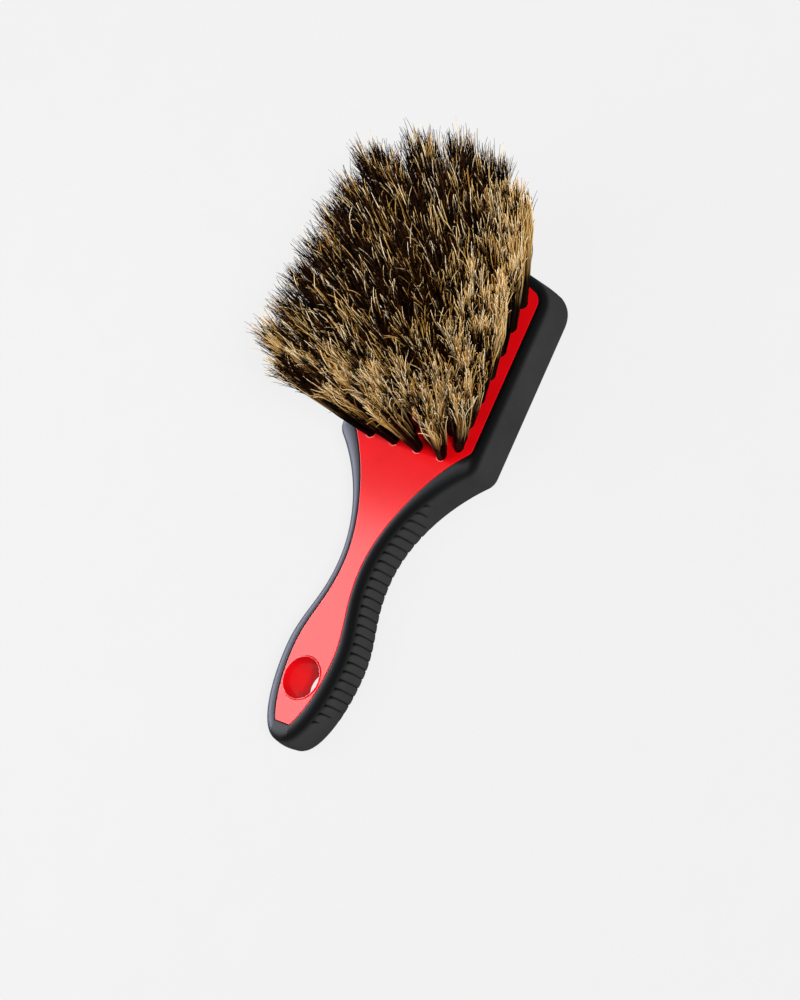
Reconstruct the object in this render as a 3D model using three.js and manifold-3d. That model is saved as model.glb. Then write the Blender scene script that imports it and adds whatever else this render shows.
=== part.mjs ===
// A hand brush for washing wheels: a rigid moulded block with a waisted handle, a soft rubber
// overmould round its whole edge, and tufts of natural hair set in blind holes in the head.
// Millimetres. +X runs from the handle to the head, +Z from the back face to the bristles.
// The origin is on the block's back face, under the middle of the tuft field.

import * as THREE from "three";
import { mergeVertices } from "three/addons/utils/BufferGeometryUtils.js";
import Module from "manifold-3d";

const wasm = await Module();
wasm.setup();

// ---------- Driving dimensions ----------

// The block, seen from the front
const BLOCK_THICKNESS = 21.4;
const HEAD_WIDTH = 87.6;
const HEAD_FRONT_X = 58.7; // the crown of the far end
const HEAD_CROWN_RADIUS = 100;
const FAR_CORNER_RADIUS = 9;
const SHOULDER_X = -43.8; // where the parallel sides would meet the slanted shoulders
const SHOULDER_ANGLE = THREE.MathUtils.degToRad(50);
const SHOULDER_CORNER_RADIUS = 8;
const SHOULDER_TO_WAIST = 61.1;
const HANDLE_END_X = -195.3;
const BULGE_TO_HANG_HOLE = 12.5; // the widest place of the handle, ahead of the hole's centre
const FRONT_EDGE_RADIUS = 2.6;
const HEAD_BACK_EDGE_RADIUS = 1.4;
const GRIP_BACK_EDGE_RADIUS = 4; // reached at the waist

// The hard face, framed by the overmould
const FACE_WAIST_WIDTH = 10.8;
const FACE_END_WIDTH = 9.2; // its flat end on the handle
const FACE_END_ANGLE = THREE.MathUtils.degToRad(33); // of its sides there, to the centreline
const FACE_CORNER_RADIUS = 4;

// Width of the overmould between the face and the block's outside
const HEAD_BAND = 4.6;
const SHOULDER_BAND = 9.2;
const WAIST_BAND = 5.3;
const BULGE_BAND = 6.3;
const END_BAND = 8.8;

// How far each outline curve keeps its direction: the length of its Bezier handle
const SHOULDER_REACH = 19;
const WAIST_REACH_TO_HEAD = 25;
const BULGE_REACH_TO_END = 21;
const OUTSIDE_END_REACH = 13;
const FACE_END_REACH = 2.8;

// The same between the waist and the bulge, as shares of the way from one to the other
const WAIST_PULL = 0.434;
const BULGE_PULL = 0.369;

// How the overmould holds on: the block's edge has a tongue, sunk in the rubber
const MOULD_CLEARANCE = 0.3;
const TONGUE_DEPTH = 2.2;
const TONGUE_THICKNESS = 7;

// Grip grooves across both sides of the handle
const GROOVE_PITCH = 4.6;
const SHOULDER_TO_FIRST_GROOVE = 21.2;
const LAST_GROOVE_TO_END = 15.2; // at least, as the row ends on a whole groove
const GROOVE_DEPTH = 0.9;
const GROOVE_TO_FACE = 4.2; // plain rubber left between a groove and the front face
const GROOVE_TO_BACK = 1.5;
const GROOVE_FADE = 3; // grooves at each end of the row over which they grow to full length

// Hanging hole and its raised lip
const HANG_HOLE_DIAMETER = 20.5;
const HANG_HOLE_TO_END = 21.55; // from its edge to the end of the handle
const LIP_WIDTH = 0.8;
const LIP_HEIGHT = 0.5;
const LIP_TO_BAND = 1.75; // from the lip to the face's edge at the bulge

// Tufts
const TUFT_ROWS = 14; // odd and even rows are staggered by half a column
const SIDE_COLUMNS = 2; // columns on each side of the centreline
const FIRST_ROW_TO_SHOULDER = 3.1;
const LAST_ROW_TO_FACE_END = 13.4;
const OUTER_COLUMN_TO_FACE_SIDE = 8.4;
const TUFT_HOLE_DIAMETER = 5.9;
const TUFT_HOLE_FLOOR = 8; // solid block left under each hole
const TUFT_CLEARANCE = 0.3;
const TUFT_HEIGHT = 55; // tips above the face
const TIP_GAP = 1.2; // between the two tufts whose tips are nearest
const FIRST_ROW_SPLAY = 35; // how far the tips of the outermost column lean sideways
const LAST_ROW_SPLAY = 19;
const FIRST_ROW_LEAN = 8; // how far the tips on the centreline lean towards the far end
const LAST_ROW_LEAN = 53;
const CORNER_LEAN_LOSS = 19; // the last row leans this much less at the outermost column
const WEB_THICKNESS = 1; // joins the centreline tufts, whose hair touches
const WEB_BOTTOM = 8; // heights of the web above the face
const WEB_TOP = 40;

// Faceting
const CURVE_STEPS = 8;
const EDGE_STEPS = 3;
const HANG_HOLE_SIDES = 40;
const TUFT_SIDES = 8;

// ---------- Sizes worked out from them ----------

const HANG_HOLE_RADIUS = HANG_HOLE_DIAMETER / 2;
const HANG_HOLE_X = HANDLE_END_X + HANG_HOLE_TO_END + HANG_HOLE_RADIUS;
const BULGE_X = HANG_HOLE_X + BULGE_TO_HANG_HOLE;
const WAIST_X = SHOULDER_X - SHOULDER_TO_WAIST;
const WAIST_TO_BULGE = WAIST_X - BULGE_X;
const GROOVE_FIRST_X = SHOULDER_X - SHOULDER_TO_FIRST_GROOVE;
const GROOVE_ROW_LENGTH = GROOVE_FIRST_X - LAST_GROOVE_TO_END - HANDLE_END_X;
const GROOVE_COUNT = Math.floor(GROOVE_ROW_LENGTH / GROOVE_PITCH) + 1;
const LIP_RADIUS = HANG_HOLE_RADIUS + LIP_WIDTH;
const TONGUE_BOTTOM = (BLOCK_THICKNESS - TONGUE_THICKNESS) / 2;
const TUFT_HOLE_RADIUS = TUFT_HOLE_DIAMETER / 2;
const FACE_HEAD_HALF = HEAD_WIDTH / 2 - HEAD_BAND;
const FACE_WAIST_HALF = FACE_WAIST_WIDTH / 2;
const FACE_BULGE_HALF = LIP_RADIUS + LIP_TO_BAND;

// The shoulder line moved in by its band meets the face's parallel side this far along X.
const FACE_SHOULDER_SHIFT =
  (SHOULDER_BAND - HEAD_BAND * Math.cos(SHOULDER_ANGLE)) / Math.sin(SHOULDER_ANGLE);

const FACE_PLAN = {
  frontX: HEAD_FRONT_X - HEAD_BAND,
  crownRadius: HEAD_CROWN_RADIUS - HEAD_BAND,
  headHalf: FACE_HEAD_HALF,
  farCorner: FAR_CORNER_RADIUS - HEAD_BAND,
  shoulderX: SHOULDER_X + FACE_SHOULDER_SHIFT,
  shoulderCorner: FACE_CORNER_RADIUS,
  waistHalf: FACE_WAIST_HALF,
  bulgeHalf: FACE_BULGE_HALF,
  endX: HANDLE_END_X + END_BAND,
  endHalf: FACE_END_WIDTH / 2,
  endAngle: FACE_END_ANGLE,
  endReach: FACE_END_REACH,
};

const OUTSIDE_PLAN = {
  frontX: HEAD_FRONT_X,
  crownRadius: HEAD_CROWN_RADIUS,
  headHalf: HEAD_WIDTH / 2,
  farCorner: FAR_CORNER_RADIUS,
  shoulderX: SHOULDER_X,
  shoulderCorner: SHOULDER_CORNER_RADIUS,
  waistHalf: FACE_WAIST_HALF + WAIST_BAND,
  bulgeHalf: FACE_BULGE_HALF + BULGE_BAND,
  endX: HANDLE_END_X,
  endHalf: 0,
  endAngle: Math.PI / 2,
  endReach: OUTSIDE_END_REACH,
};

const MATERIALS = {
  hardPlastic: new THREE.MeshStandardMaterial({ color: 0xdf1014, roughness: 0.32, metalness: 0 }),
  rubber: new THREE.MeshStandardMaterial({ color: 0x26272a, roughness: 0.55, metalness: 0 }),
  hair: new THREE.MeshStandardMaterial({ color: 0x5b4529, roughness: 0.7, metalness: 0 }),
};

// ---------- Outlines ----------

// One side of a block outline, from the crown of the far end round to the end of the handle:
// crown arc, rounded corner, parallel side, rounded shoulder corner, and three curves through
// the waist and the bulge.
function halfOutline(plan) {
  const slant = new THREE.Vector2(-Math.cos(SHOULDER_ANGLE), -Math.sin(SHOULDER_ANGLE));
  const crownCentreX = plan.frontX - plan.crownRadius;
  const crownEnd = Math.asin((plan.headHalf - plan.farCorner) / plan.crownRadius);
  const farCornerX = crownCentreX + plan.crownRadius * Math.cos(crownEnd) - plan.farCorner / 2;
  const shoulderLength = plan.shoulderCorner * Math.tan(SHOULDER_ANGLE / 2);
  const shoulder = new THREE.Vector2(plan.shoulderX, plan.headHalf);
  const shoulderEnd = shoulder.clone().addScaledVector(slant, shoulderLength);
  const shoulderHandle = shoulderEnd.clone().addScaledVector(slant, SHOULDER_REACH);

  const path = new THREE.Path();
  path.absarc(crownCentreX, 0, plan.crownRadius, 0, crownEnd, false);
  path.quadraticCurveTo(farCornerX, plan.headHalf, farCornerX - plan.farCorner, plan.headHalf);
  path.lineTo(shoulder.x + shoulderLength, shoulder.y);
  path.quadraticCurveTo(shoulder.x, shoulder.y, shoulderEnd.x, shoulderEnd.y);
  path.bezierCurveTo(
    shoulderHandle.x,
    shoulderHandle.y,
    WAIST_X + WAIST_REACH_TO_HEAD,
    plan.waistHalf,
    WAIST_X,
    plan.waistHalf,
  );
  path.bezierCurveTo(
    WAIST_X - WAIST_PULL * WAIST_TO_BULGE,
    plan.waistHalf,
    BULGE_X + BULGE_PULL * WAIST_TO_BULGE,
    plan.bulgeHalf,
    BULGE_X,
    plan.bulgeHalf,
  );
  path.bezierCurveTo(
    BULGE_X - BULGE_REACH_TO_END,
    plan.bulgeHalf,
    plan.endX + plan.endReach * Math.cos(plan.endAngle),
    plan.endHalf + plan.endReach * Math.sin(plan.endAngle),
    plan.endX,
    plan.endHalf,
  );
  return path.getPoints(CURVE_STEPS);
}

// A whole outline, anticlockwise: one side, then its mirror image back to the start.
function outline(plan) {
  const side = halfOutline(plan);
  const mirrored = side
    .filter((point) => point.y > 0)
    .map((point) => new THREE.Vector2(point.x, -point.y))
    .reverse();
  return [...side, ...mirrored];
}

// For each corner of an outline, the step that moves both its edges outwards by 1.
function outwardSteps(points) {
  return points.map((point, i) => {
    const before = points.at(i - 1);
    const after = points[(i + 1) % points.length];
    const edgeIn = point.clone().sub(before).normalize();
    const edgeOut = after.clone().sub(point).normalize();
    const bisector = new THREE.Vector2(edgeIn.y + edgeOut.y, -edgeIn.x - edgeOut.x).normalize();
    return bisector.divideScalar(bisector.x * edgeOut.y - bisector.y * edgeOut.x);
  });
}

function offsetOutline(points, distance) {
  const steps = outwardSteps(points);
  return points.map((point, i) => point.clone().addScaledVector(steps[i], distance));
}

// Half-width and slope of an outline at X, read on its positive side.
function sideAt(points, x) {
  const next = points.findIndex((point) => point.x < x);
  const a = points[next - 1];
  const b = points[next];
  const share = (a.x - x) / (a.x - b.x);
  return { y: a.y + (b.y - a.y) * share, angle: Math.atan2(a.y - b.y, a.x - b.x) };
}

// ---------- Solids ----------

// A closed geometry as a solid for cutting and joining.
function solid(geometry) {
  const bare = geometry.clone();
  bare.deleteAttribute("normal");
  bare.deleteAttribute("uv");
  const merged = mergeVertices(bare, 1e-4);
  const vertexCount = merged.attributes.position.count;
  const triVerts = merged.index
    ? new Uint32Array(merged.index.array)
    : Uint32Array.from({ length: vertexCount }, (_, i) => i);
  const vertProperties = merged.attributes.position.array;
  return new wasm.Manifold(new wasm.Mesh({ numProp: 3, vertProperties, triVerts }));
}

function namedMesh(name, body, material) {
  const { vertProperties, triVerts } = body.getMesh();
  const geometry = new THREE.BufferGeometry();
  geometry.setAttribute("position", new THREE.BufferAttribute(vertProperties, 3));
  geometry.setIndex(new THREE.BufferAttribute(triVerts, 1));
  geometry.computeVertexNormals();
  const mesh = new THREE.Mesh(geometry, material);
  mesh.name = name;
  return mesh;
}

function prism(points, bottom, top) {
  const geometry = new THREE.ExtrudeGeometry(new THREE.Shape(points), {
    depth: top - bottom,
    bevelEnabled: false,
  });
  return solid(geometry.translate(0, 0, bottom));
}

// The block's outside: an outline carried from back to front, with a quarter-round edge at
// each end. The back edge's radius grows from the head to the waist.
function roundedBody(points) {
  const steps = outwardSteps(points);
  const backRadius = points.map(({ x }) => {
    const towardsWaist = 1 - THREE.MathUtils.smoothstep(x, WAIST_X, SHOULDER_X);
    return THREE.MathUtils.lerp(HEAD_BACK_EDGE_RADIUS, GRIP_BACK_EDGE_RADIUS, towardsWaist);
  });
  const vertices = [];
  const addRing = (insetAndHeight) => {
    points.forEach((point, i) => {
      const [inset, z] = insetAndHeight(i);
      const place = point.clone().addScaledVector(steps[i], -inset);
      vertices.push(place.x, place.y, z);
    });
  };
  for (let step = 0; step <= EDGE_STEPS; step++) {
    const turn = (step / EDGE_STEPS) * (Math.PI / 2);
    addRing((i) => [backRadius[i] * (1 - Math.sin(turn)), backRadius[i] * (1 - Math.cos(turn))]);
  }
  for (let step = 0; step <= EDGE_STEPS; step++) {
    const turn = (step / EDGE_STEPS) * (Math.PI / 2);
    const z = BLOCK_THICKNESS - FRONT_EDGE_RADIUS * (1 - Math.sin(turn));
    addRing(() => [FRONT_EDGE_RADIUS * (1 - Math.cos(turn)), z]);
  }

  const count = points.length;
  const frontRing = (2 * EDGE_STEPS + 1) * count;
  const backCap = offsetOutline(points, -HEAD_BACK_EDGE_RADIUS);
  const frontCap = offsetOutline(points, -FRONT_EDGE_RADIUS);
  const index = [];
  for (let ring = 0; ring < frontRing; ring += count) {
    for (let i = 0; i < count; i++) {
      const next = (i + 1) % count;
      index.push(ring + i, ring + next, ring + count + next);
      index.push(ring + i, ring + count + next, ring + count + i);
    }
  }
  for (const [a, b, c] of THREE.ShapeUtils.triangulateShape(backCap, [])) index.push(a, c, b);
  for (const face of THREE.ShapeUtils.triangulateShape(frontCap, [])) {
    index.push(...face.map((corner) => frontRing + corner));
  }
  const geometry = new THREE.BufferGeometry();
  geometry.setAttribute("position", new THREE.Float32BufferAttribute(vertices, 3));
  geometry.setIndex(index);
  return solid(geometry);
}

// An upright cylinder between two heights.
function cylinder(x, y, radius, bottom, top, sides) {
  const height = top - bottom;
  const geometry = new THREE.CylinderGeometry(radius, radius, height, sides);
  return solid(geometry.rotateX(Math.PI / 2).translate(x, y, bottom + height / 2));
}

// ---------- Tuft layout ----------

const FIRST_ROW_X = SHOULDER_X + FIRST_ROW_TO_SHOULDER;
const LAST_ROW_X = FACE_PLAN.frontX - LAST_ROW_TO_FACE_END;
const ROW_PITCH = (LAST_ROW_X - FIRST_ROW_X) / (TUFT_ROWS - 1);
const OUTER_COLUMN_Y = FACE_HEAD_HALF - OUTER_COLUMN_TO_FACE_SIDE;
const COLUMN_PITCH = OUTER_COLUMN_Y / SIDE_COLUMNS;

// How far a tuft's tip stands from its root, seen from the front. Rows lean further towards
// the far end, and columns splay further from the centreline.
function lean(rowShare, columnShare) {
  const cornerLoss = CORNER_LEAN_LOSS * rowShare * columnShare ** 2;
  return {
    leanX: THREE.MathUtils.lerp(FIRST_ROW_LEAN, LAST_ROW_LEAN, rowShare) - cornerLoss,
    leanY: THREE.MathUtils.lerp(FIRST_ROW_SPLAY, LAST_ROW_SPLAY, rowShare) * columnShare,
  };
}

// Every tuft's name, hole centre and lean: whole columns in even rows, half ones in odd rows.
function tuftPlaces() {
  const places = [];
  for (let row = 1; row <= TUFT_ROWS; row++) {
    const staggered = row % 2 === 1;
    const first = staggered ? 0.5 - SIDE_COLUMNS : -SIDE_COLUMNS;
    for (let column = first; column <= -first; column++) {
      const y = column * COLUMN_PITCH;
      places.push({
        name: `tuft_row${String(row).padStart(2, "0")}_${column - first + 1}`,
        centre: column === 0,
        x: FIRST_ROW_X + (row - 1) * ROW_PITCH,
        y,
        ...lean((row - 1) / (TUFT_ROWS - 1), column / SIDE_COLUMNS),
      });
    }
  }
  return places;
}

// The least distance between any two tips.
function leastTipSpacing(places) {
  const tips = places.map(({ x, y, leanX, leanY }) => new THREE.Vector2(x + leanX, y + leanY));
  const spacings = tips.flatMap((tip, i) => tips.slice(i + 1).map((other) => tip.distanceTo(other)));
  return Math.min(...spacings);
}

// ---------- Sub-parts ----------

// The rigid block: face to back in one piece, with the tongue round its edge, the hanging
// hole with its lip, and a blind hole for each tuft.
function blockCore(faceOutline, places) {
  const tongueOutline = offsetOutline(faceOutline, TONGUE_DEPTH);
  const lipTop = BLOCK_THICKNESS + LIP_HEIGHT;
  let core = prism(faceOutline, 0, BLOCK_THICKNESS)
    .add(prism(tongueOutline, TONGUE_BOTTOM, TONGUE_BOTTOM + TONGUE_THICKNESS))
    .add(cylinder(HANG_HOLE_X, 0, LIP_RADIUS, TONGUE_BOTTOM, lipTop, HANG_HOLE_SIDES))
    .subtract(
      cylinder(HANG_HOLE_X, 0, HANG_HOLE_RADIUS, -LIP_HEIGHT, 2 * lipTop, HANG_HOLE_SIDES),
    );
  for (const { x, y } of places) {
    const hole = cylinder(x, y, TUFT_HOLE_RADIUS, TUFT_HOLE_FLOOR, 2 * BLOCK_THICKNESS, TUFT_SIDES);
    core = core.subtract(hole);
  }
  return core;
}

// The grip grooves of one side of the handle, as square bars set corner first into the wall.
function gripGrooves(outsideOutline, side) {
  const bar = GROOVE_DEPTH * Math.SQRT2;
  const top = BLOCK_THICKNESS - GROOVE_TO_FACE;
  const grooves = [];
  for (let i = 0; i < GROOVE_COUNT; i++) {
    const x = GROOVE_FIRST_X - i * GROOVE_PITCH;
    const wall = sideAt(outsideOutline, x);
    const fromRowEnd = Math.min(i, GROOVE_COUNT - 1 - i) + 1;
    const length = (top - GROOVE_TO_BACK) * Math.min(1, fromRowEnd / GROOVE_FADE);
    const groove = new THREE.BoxGeometry(bar, bar, length)
      .rotateZ(side * (wall.angle + Math.PI / 4))
      .translate(x, side * wall.y, top - length / 2);
    grooves.push(solid(groove));
  }
  return grooves;
}

// The rubber overmould: a ring round the block, rounded at its front and back edges, with a
// pocket for the tongue and the grip grooves.
function rubberOvermould(faceOutline, outsideOutline) {
  const window = offsetOutline(faceOutline, MOULD_CLEARANCE);
  const pocket = offsetOutline(faceOutline, TONGUE_DEPTH + MOULD_CLEARANCE);
  const pocketBottom = TONGUE_BOTTOM - MOULD_CLEARANCE;
  const pocketTop = TONGUE_BOTTOM + TONGUE_THICKNESS + MOULD_CLEARANCE;
  let ring = roundedBody(outsideOutline)
    .subtract(prism(window, -BLOCK_THICKNESS, 2 * BLOCK_THICKNESS))
    .subtract(prism(pocket, pocketBottom, pocketTop));
  for (const side of [1, -1]) {
    for (const groove of gripGrooves(outsideOutline, side)) {
      ring = ring.subtract(groove);
    }
  }
  return ring;
}

// One tuft: a straight root in its hole, then a bundle that widens and leans to its tip.
function tuft({ x, y, leanX, leanY }, tipRadius) {
  const rootRadius = TUFT_HOLE_RADIUS - TUFT_CLEARANCE;
  const rootBottom = TUFT_HOLE_FLOOR + TUFT_CLEARANCE;
  const tip = BLOCK_THICKNESS + TUFT_HEIGHT;
  const profile = [
    new THREE.Vector2(0, rootBottom),
    new THREE.Vector2(rootRadius, rootBottom),
    new THREE.Vector2(rootRadius, BLOCK_THICKNESS),
    new THREE.Vector2(tipRadius, tip),
    new THREE.Vector2(0, tip),
  ];
  const geometry = new THREE.LatheGeometry(profile, TUFT_SIDES).rotateX(Math.PI / 2);
  const position = geometry.attributes.position;
  for (let i = 0; i < position.count; i++) {
    const z = position.getZ(i);
    const share = Math.max(0, z - BLOCK_THICKNESS) / TUFT_HEIGHT;
    position.setXYZ(
      i,
      x + position.getX(i) + leanX * share,
      y + position.getY(i) + leanY * share,
      z,
    );
  }
  return solid(geometry);
}

// The centreline tufts as one bundle: a thin web in the plane of symmetry joins them.
function centreTufts(places, tipRadius) {
  const edge = ({ x, leanX }, height) =>
    new THREE.Vector2(x + (leanX * height) / TUFT_HEIGHT, BLOCK_THICKNESS + height);
  const first = places[0];
  const last = places.at(-1);
  const web = new THREE.ExtrudeGeometry(
    new THREE.Shape([
      edge(first, WEB_BOTTOM),
      edge(last, WEB_BOTTOM),
      edge(last, WEB_TOP),
      edge(first, WEB_TOP),
    ]),
    { depth: WEB_THICKNESS, bevelEnabled: false },
  );
  web.rotateX(Math.PI / 2).translate(0, WEB_THICKNESS / 2, 0);
  return places.reduce((bundle, place) => bundle.add(tuft(place, tipRadius)), solid(web));
}

// ---------- Assembly ----------

const faceOutline = outline(FACE_PLAN);
const outsideOutline = outline(OUTSIDE_PLAN);
const places = tuftPlaces();
const centrePlaces = places.filter((place) => place.centre);
const sidePlaces = places.filter((place) => !place.centre);
const tipRadius = (leastTipSpacing(places) - TIP_GAP) / 2;

const brush = new THREE.Group();
brush.add(
  namedMesh("block_core", blockCore(faceOutline, places), MATERIALS.hardPlastic),
  namedMesh("rubber_overmould", rubberOvermould(faceOutline, outsideOutline), MATERIALS.rubber),
  namedMesh("tufts_centreline", centreTufts(centrePlaces, tipRadius), MATERIALS.hair),
);
for (const place of sidePlaces) {
  brush.add(namedMesh(place.name, tuft(place, tipRadius), MATERIALS.hair));
}

export default brush;
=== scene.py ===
"""The looks of a wheel brush: a hard red block, a soft black overmould and tufts of natural hair.

Sizes are in millimetres and become metres when a mesh is made. +X runs from the handle to the
head, +Z from the back face to the bristles, and z = 0 is the back face.
"""

import bpy
import numpy as np
from mathutils import Matrix, Vector
from mathutils.geometry import delaunay_2d_cdt


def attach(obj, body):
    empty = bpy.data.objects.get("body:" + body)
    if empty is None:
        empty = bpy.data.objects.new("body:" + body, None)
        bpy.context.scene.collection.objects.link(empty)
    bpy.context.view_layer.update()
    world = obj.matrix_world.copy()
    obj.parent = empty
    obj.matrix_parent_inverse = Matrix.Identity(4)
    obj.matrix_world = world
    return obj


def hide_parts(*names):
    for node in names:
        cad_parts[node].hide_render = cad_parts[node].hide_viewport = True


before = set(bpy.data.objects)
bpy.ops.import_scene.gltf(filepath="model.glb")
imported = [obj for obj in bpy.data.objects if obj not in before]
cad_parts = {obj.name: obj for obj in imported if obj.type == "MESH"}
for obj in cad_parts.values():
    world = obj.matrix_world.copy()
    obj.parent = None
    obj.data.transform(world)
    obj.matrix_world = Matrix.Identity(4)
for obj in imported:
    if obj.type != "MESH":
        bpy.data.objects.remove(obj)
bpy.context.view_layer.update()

MM = 0.001

# ---------- Sizes of the block, the same as in its CAD ----------

THICKNESS = 21.4
HEAD_WIDTH = 87.6
HEAD_FRONT_X = 58.7
CROWN_RADIUS = 100
FAR_CORNER = 9
SHOULDER_X = -43.8
SHOULDER_ANGLE = np.radians(50)
SHOULDER_CORNER = 8
FACE_SHOULDER_CORNER = 4
WAIST_X = -104.9
BULGE_X = -151.0
HANDLE_END_X = -195.3
FACE_WAIST_HALF = 5.4
FACE_BULGE_HALF = 12.8
FACE_END_HALF = 4.6
FACE_END_ANGLE = np.radians(33)
HEAD_BAND = 4.6
SHOULDER_BAND = 9.2
WAIST_BAND = 5.3
BULGE_BAND = 6.3
END_BAND = 8.8
HEAD_BACK_RADIUS = 1.4
GRIP_BACK_RADIUS = 4.0
HOLE_X = -163.5
HOLE_RADIUS = 10.25
LIP_WIDTH = 0.8
LIP_HEIGHT = 0.5
TONGUE_DEPTH = 2.2
TONGUE_BOTTOM = 7.2
TONGUE_TOP = 14.2

# How far each curve of the outline keeps its direction: the length of its Bezier handle
SHOULDER_REACH = 19
WAIST_REACH_TO_HEAD = 25
WAIST_REACH_TO_BULGE = 20
BULGE_REACH_TO_WAIST = 17
BULGE_REACH_TO_END = 21
OUTSIDE_END_REACH = 13
FACE_END_REACH = 2.8

# Points along one half of an outline: crown, far corner, side, shoulder corner, neck, grip, end
SPAN_COUNTS = (24, 12, 18, 12, 190, 165, 140)

# ---------- Finer sizes of the two mouldings ----------

FRONT_ROLL = 3.2  # how far the front band rolls down into the wall
BAND_FLAT = 0.12  # share of its width before the roll starts
SEAM_ROUNDING = (0.3, 0.35)  # of the rubber's inner edge: across and down
WALL_BARREL = 0.7  # how far the grip's wall swells at mid height
HOLE_DRAFT = 0.5  # how much narrower the hole is at the back
HOLE_SIDES = 120
FLASH_NIBS = ((0.35, 2.75, 0.05), (0.25, 3.2, 0.04))  # height, direction and width in radians
JOINT_GAP = 0.22  # the dark line where rubber meets plastic
CAP_INSET = 0.34  # how far inside its edge the flat face begins
CAP_CLEARANCE = 0.05  # keeps the test for triangles inside a hole off its rim

GATE = np.array([-193.9, -5.3, 17.4])  # where the rubber entered its mould
GATE_WAY = np.array([-0.87, -0.48, 0.1])
GATE_HEIGHT = 0.9
GATE_RADIUS = 0.9

# ---------- Grip grooves ----------

GROOVE_FIRST_X = -65.0
GROOVE_PITCH = 4.6
GROOVE_COUNT = 26
GROOVE_TOP = THICKNESS - 3.4
GROOVE_BOTTOM = 1.0
GROOVE_FADE = 4  # grooves at each end of the row over which they grow to full length
SLIT_TAPER = 3  # length over which a groove runs out at its lower end
NOTCH_HEIGHT = 2.0  # over which the wide notch narrows to the slit
COMMA_BEND = 1.2
SLIT_HALF_WIDTH, NOTCH_HALF_WIDTH = 0.45, 1.15
SLIT_DEPTH, NOTCH_DEPTH = 0.8, 1.7
RIB_HEIGHT = 0.28

# ---------- Tufts ----------

TUFT_ROWS = 14
FIRST_ROW_X = -40.7
LAST_ROW_X = 40.7
COLUMN_PITCH = 15.4
TUFT_HOLE_RADIUS = 2.95
TUFT_HOLE_FLOOR = 8.0
TUFT_HOLE_SIDES = 26
STAPLE_HEIGHT = 1.1  # of a staple's middle above the hole's floor
HAIR_HEIGHT = 55.0
HAIRS_PER_TUFT = 470
LOCKS_PER_TUFT = 22
HAIR_SEED = 700
# Places along one hair where it may bend, closer together towards the tip.
HAIR_BENDS = np.array([0, 0.3, 0.55, 0.72, 0.83, 0.91, 0.96, 1.0])
FAN = 9.0  # how far a tuft's tips spread from their middle
OUTER_FAN = 7.9  # along the row of tufts at the side of the field
EDGE_FAN = 10.0  # and away from the field's middle there, and across its front row
COMBED_FAN = 0.84  # share of it left where the field is combed straight
LOOSE_CURL, COMBED_CURL = 1.15, 0.65
PALE_THICKNESS = (0.40, 0.64)
DARK_THICKNESS = (0.30, 0.46)
PALE_SHADE, DARK_SHADE = 0.6, 0.53  # pale hairs lie above the one, dark ones below the other
SHORTEST = 0.32  # how much shorter than the rest a hair may be, as a share
HAIR_BOW = 3.2  # how far a tuft bows outwards half way up
HAIR_STRIPS = 64  # shades on the map
STRIP_HALF = 0.42 / HAIR_STRIPS


# ---------- Small tools ----------


def linear(hex_colour):
    """An sRGB hex colour as linear RGBA: the standard sRGB curve, undone."""
    rgb = np.array([int(hex_colour[i : i + 2], 16) for i in (1, 3, 5)]) / 255
    rgb = np.where(rgb <= 0.04045, rgb / 12.92, ((rgb + 0.055) / 1.055) ** 2.4)
    return (*rgb.tolist(), 1.0)


def smooth(x, low, high):
    """0 below low, 1 above high, and 3t^2 - 2t^3 between them."""
    t = np.clip((x - low) / (high - low), 0, 1)
    return t * t * (3 - 2 * t)


def mix(a, b, share):
    """a at share 0, b at share 1, and a straight line between them."""
    return a + (b - a) * share


def new_piece(name, vertices, faces, material, slot_name, uvs=None):
    """A smooth mesh object from vertices in millimetres and arrays of triangles or quads. It is
    part of the brush if it has a slot name."""
    loops = np.concatenate([f.ravel() for f in faces]).astype(np.int32)
    sizes = np.concatenate([np.full(len(f), f.shape[1]) for f in faces])
    starts = np.concatenate([[0], np.cumsum(sizes)[:-1]]).astype(np.int32)
    mesh = bpy.data.meshes.new(name)
    mesh.vertices.add(len(vertices))
    mesh.vertices.foreach_set("co", (np.asarray(vertices, float) * MM).ravel())
    mesh.loops.add(len(loops))
    mesh.loops.foreach_set("vertex_index", loops)
    mesh.polygons.add(len(starts))
    mesh.polygons.foreach_set("loop_start", starts)
    mesh.update(calc_edges=True)
    mesh.shade_smooth()
    if uvs is not None:
        layer = mesh.uv_layers.new(name="OFBake")
        layer.uv.foreach_set("vector", uvs.astype(np.float32).ravel())
    mesh.materials.append(material)
    piece = bpy.data.objects.new(name, mesh)
    bpy.context.scene.collection.objects.link(piece)
    if slot_name:
        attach(piece, "root")
    return piece


def add(tree, kind, inputs=None, stops=None, **settings):
    """Adds a node with its settings, its colour stops, and its inputs as values or links."""
    made = tree.nodes.new(kind)
    for name, value in settings.items():
        setattr(made, name, value)
    for name, value in (inputs or {}).items():
        if isinstance(value, bpy.types.NodeSocket):
            tree.links.new(value, made.inputs[name])
        else:
            made.inputs[name].default_value = value
    if stops:
        elements = made.color_ramp.elements
        while len(elements) < len(stops):
            elements.new(1.0)
        for element, (place, hex_colour) in zip(elements, stops):
            element.position = place
            element.color = linear(hex_colour)
    return made


def new_material(name):
    """A material with an empty node tree, and the tree."""
    material = bpy.data.materials.new(name)
    material.use_nodes = True
    material.node_tree.nodes.clear()
    return material, material.node_tree


# ---------- Outlines ----------


def resample(points, count):
    """count points at equal distances along an open line, its last point left out."""
    steps = np.hypot(*np.diff(points, axis=0).T)
    along = np.concatenate([[0], np.cumsum(steps)])
    places = np.linspace(0, along[-1], count, endpoint=False)
    return np.column_stack([np.interp(places, along, points[:, k]) for k in (0, 1)])


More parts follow.
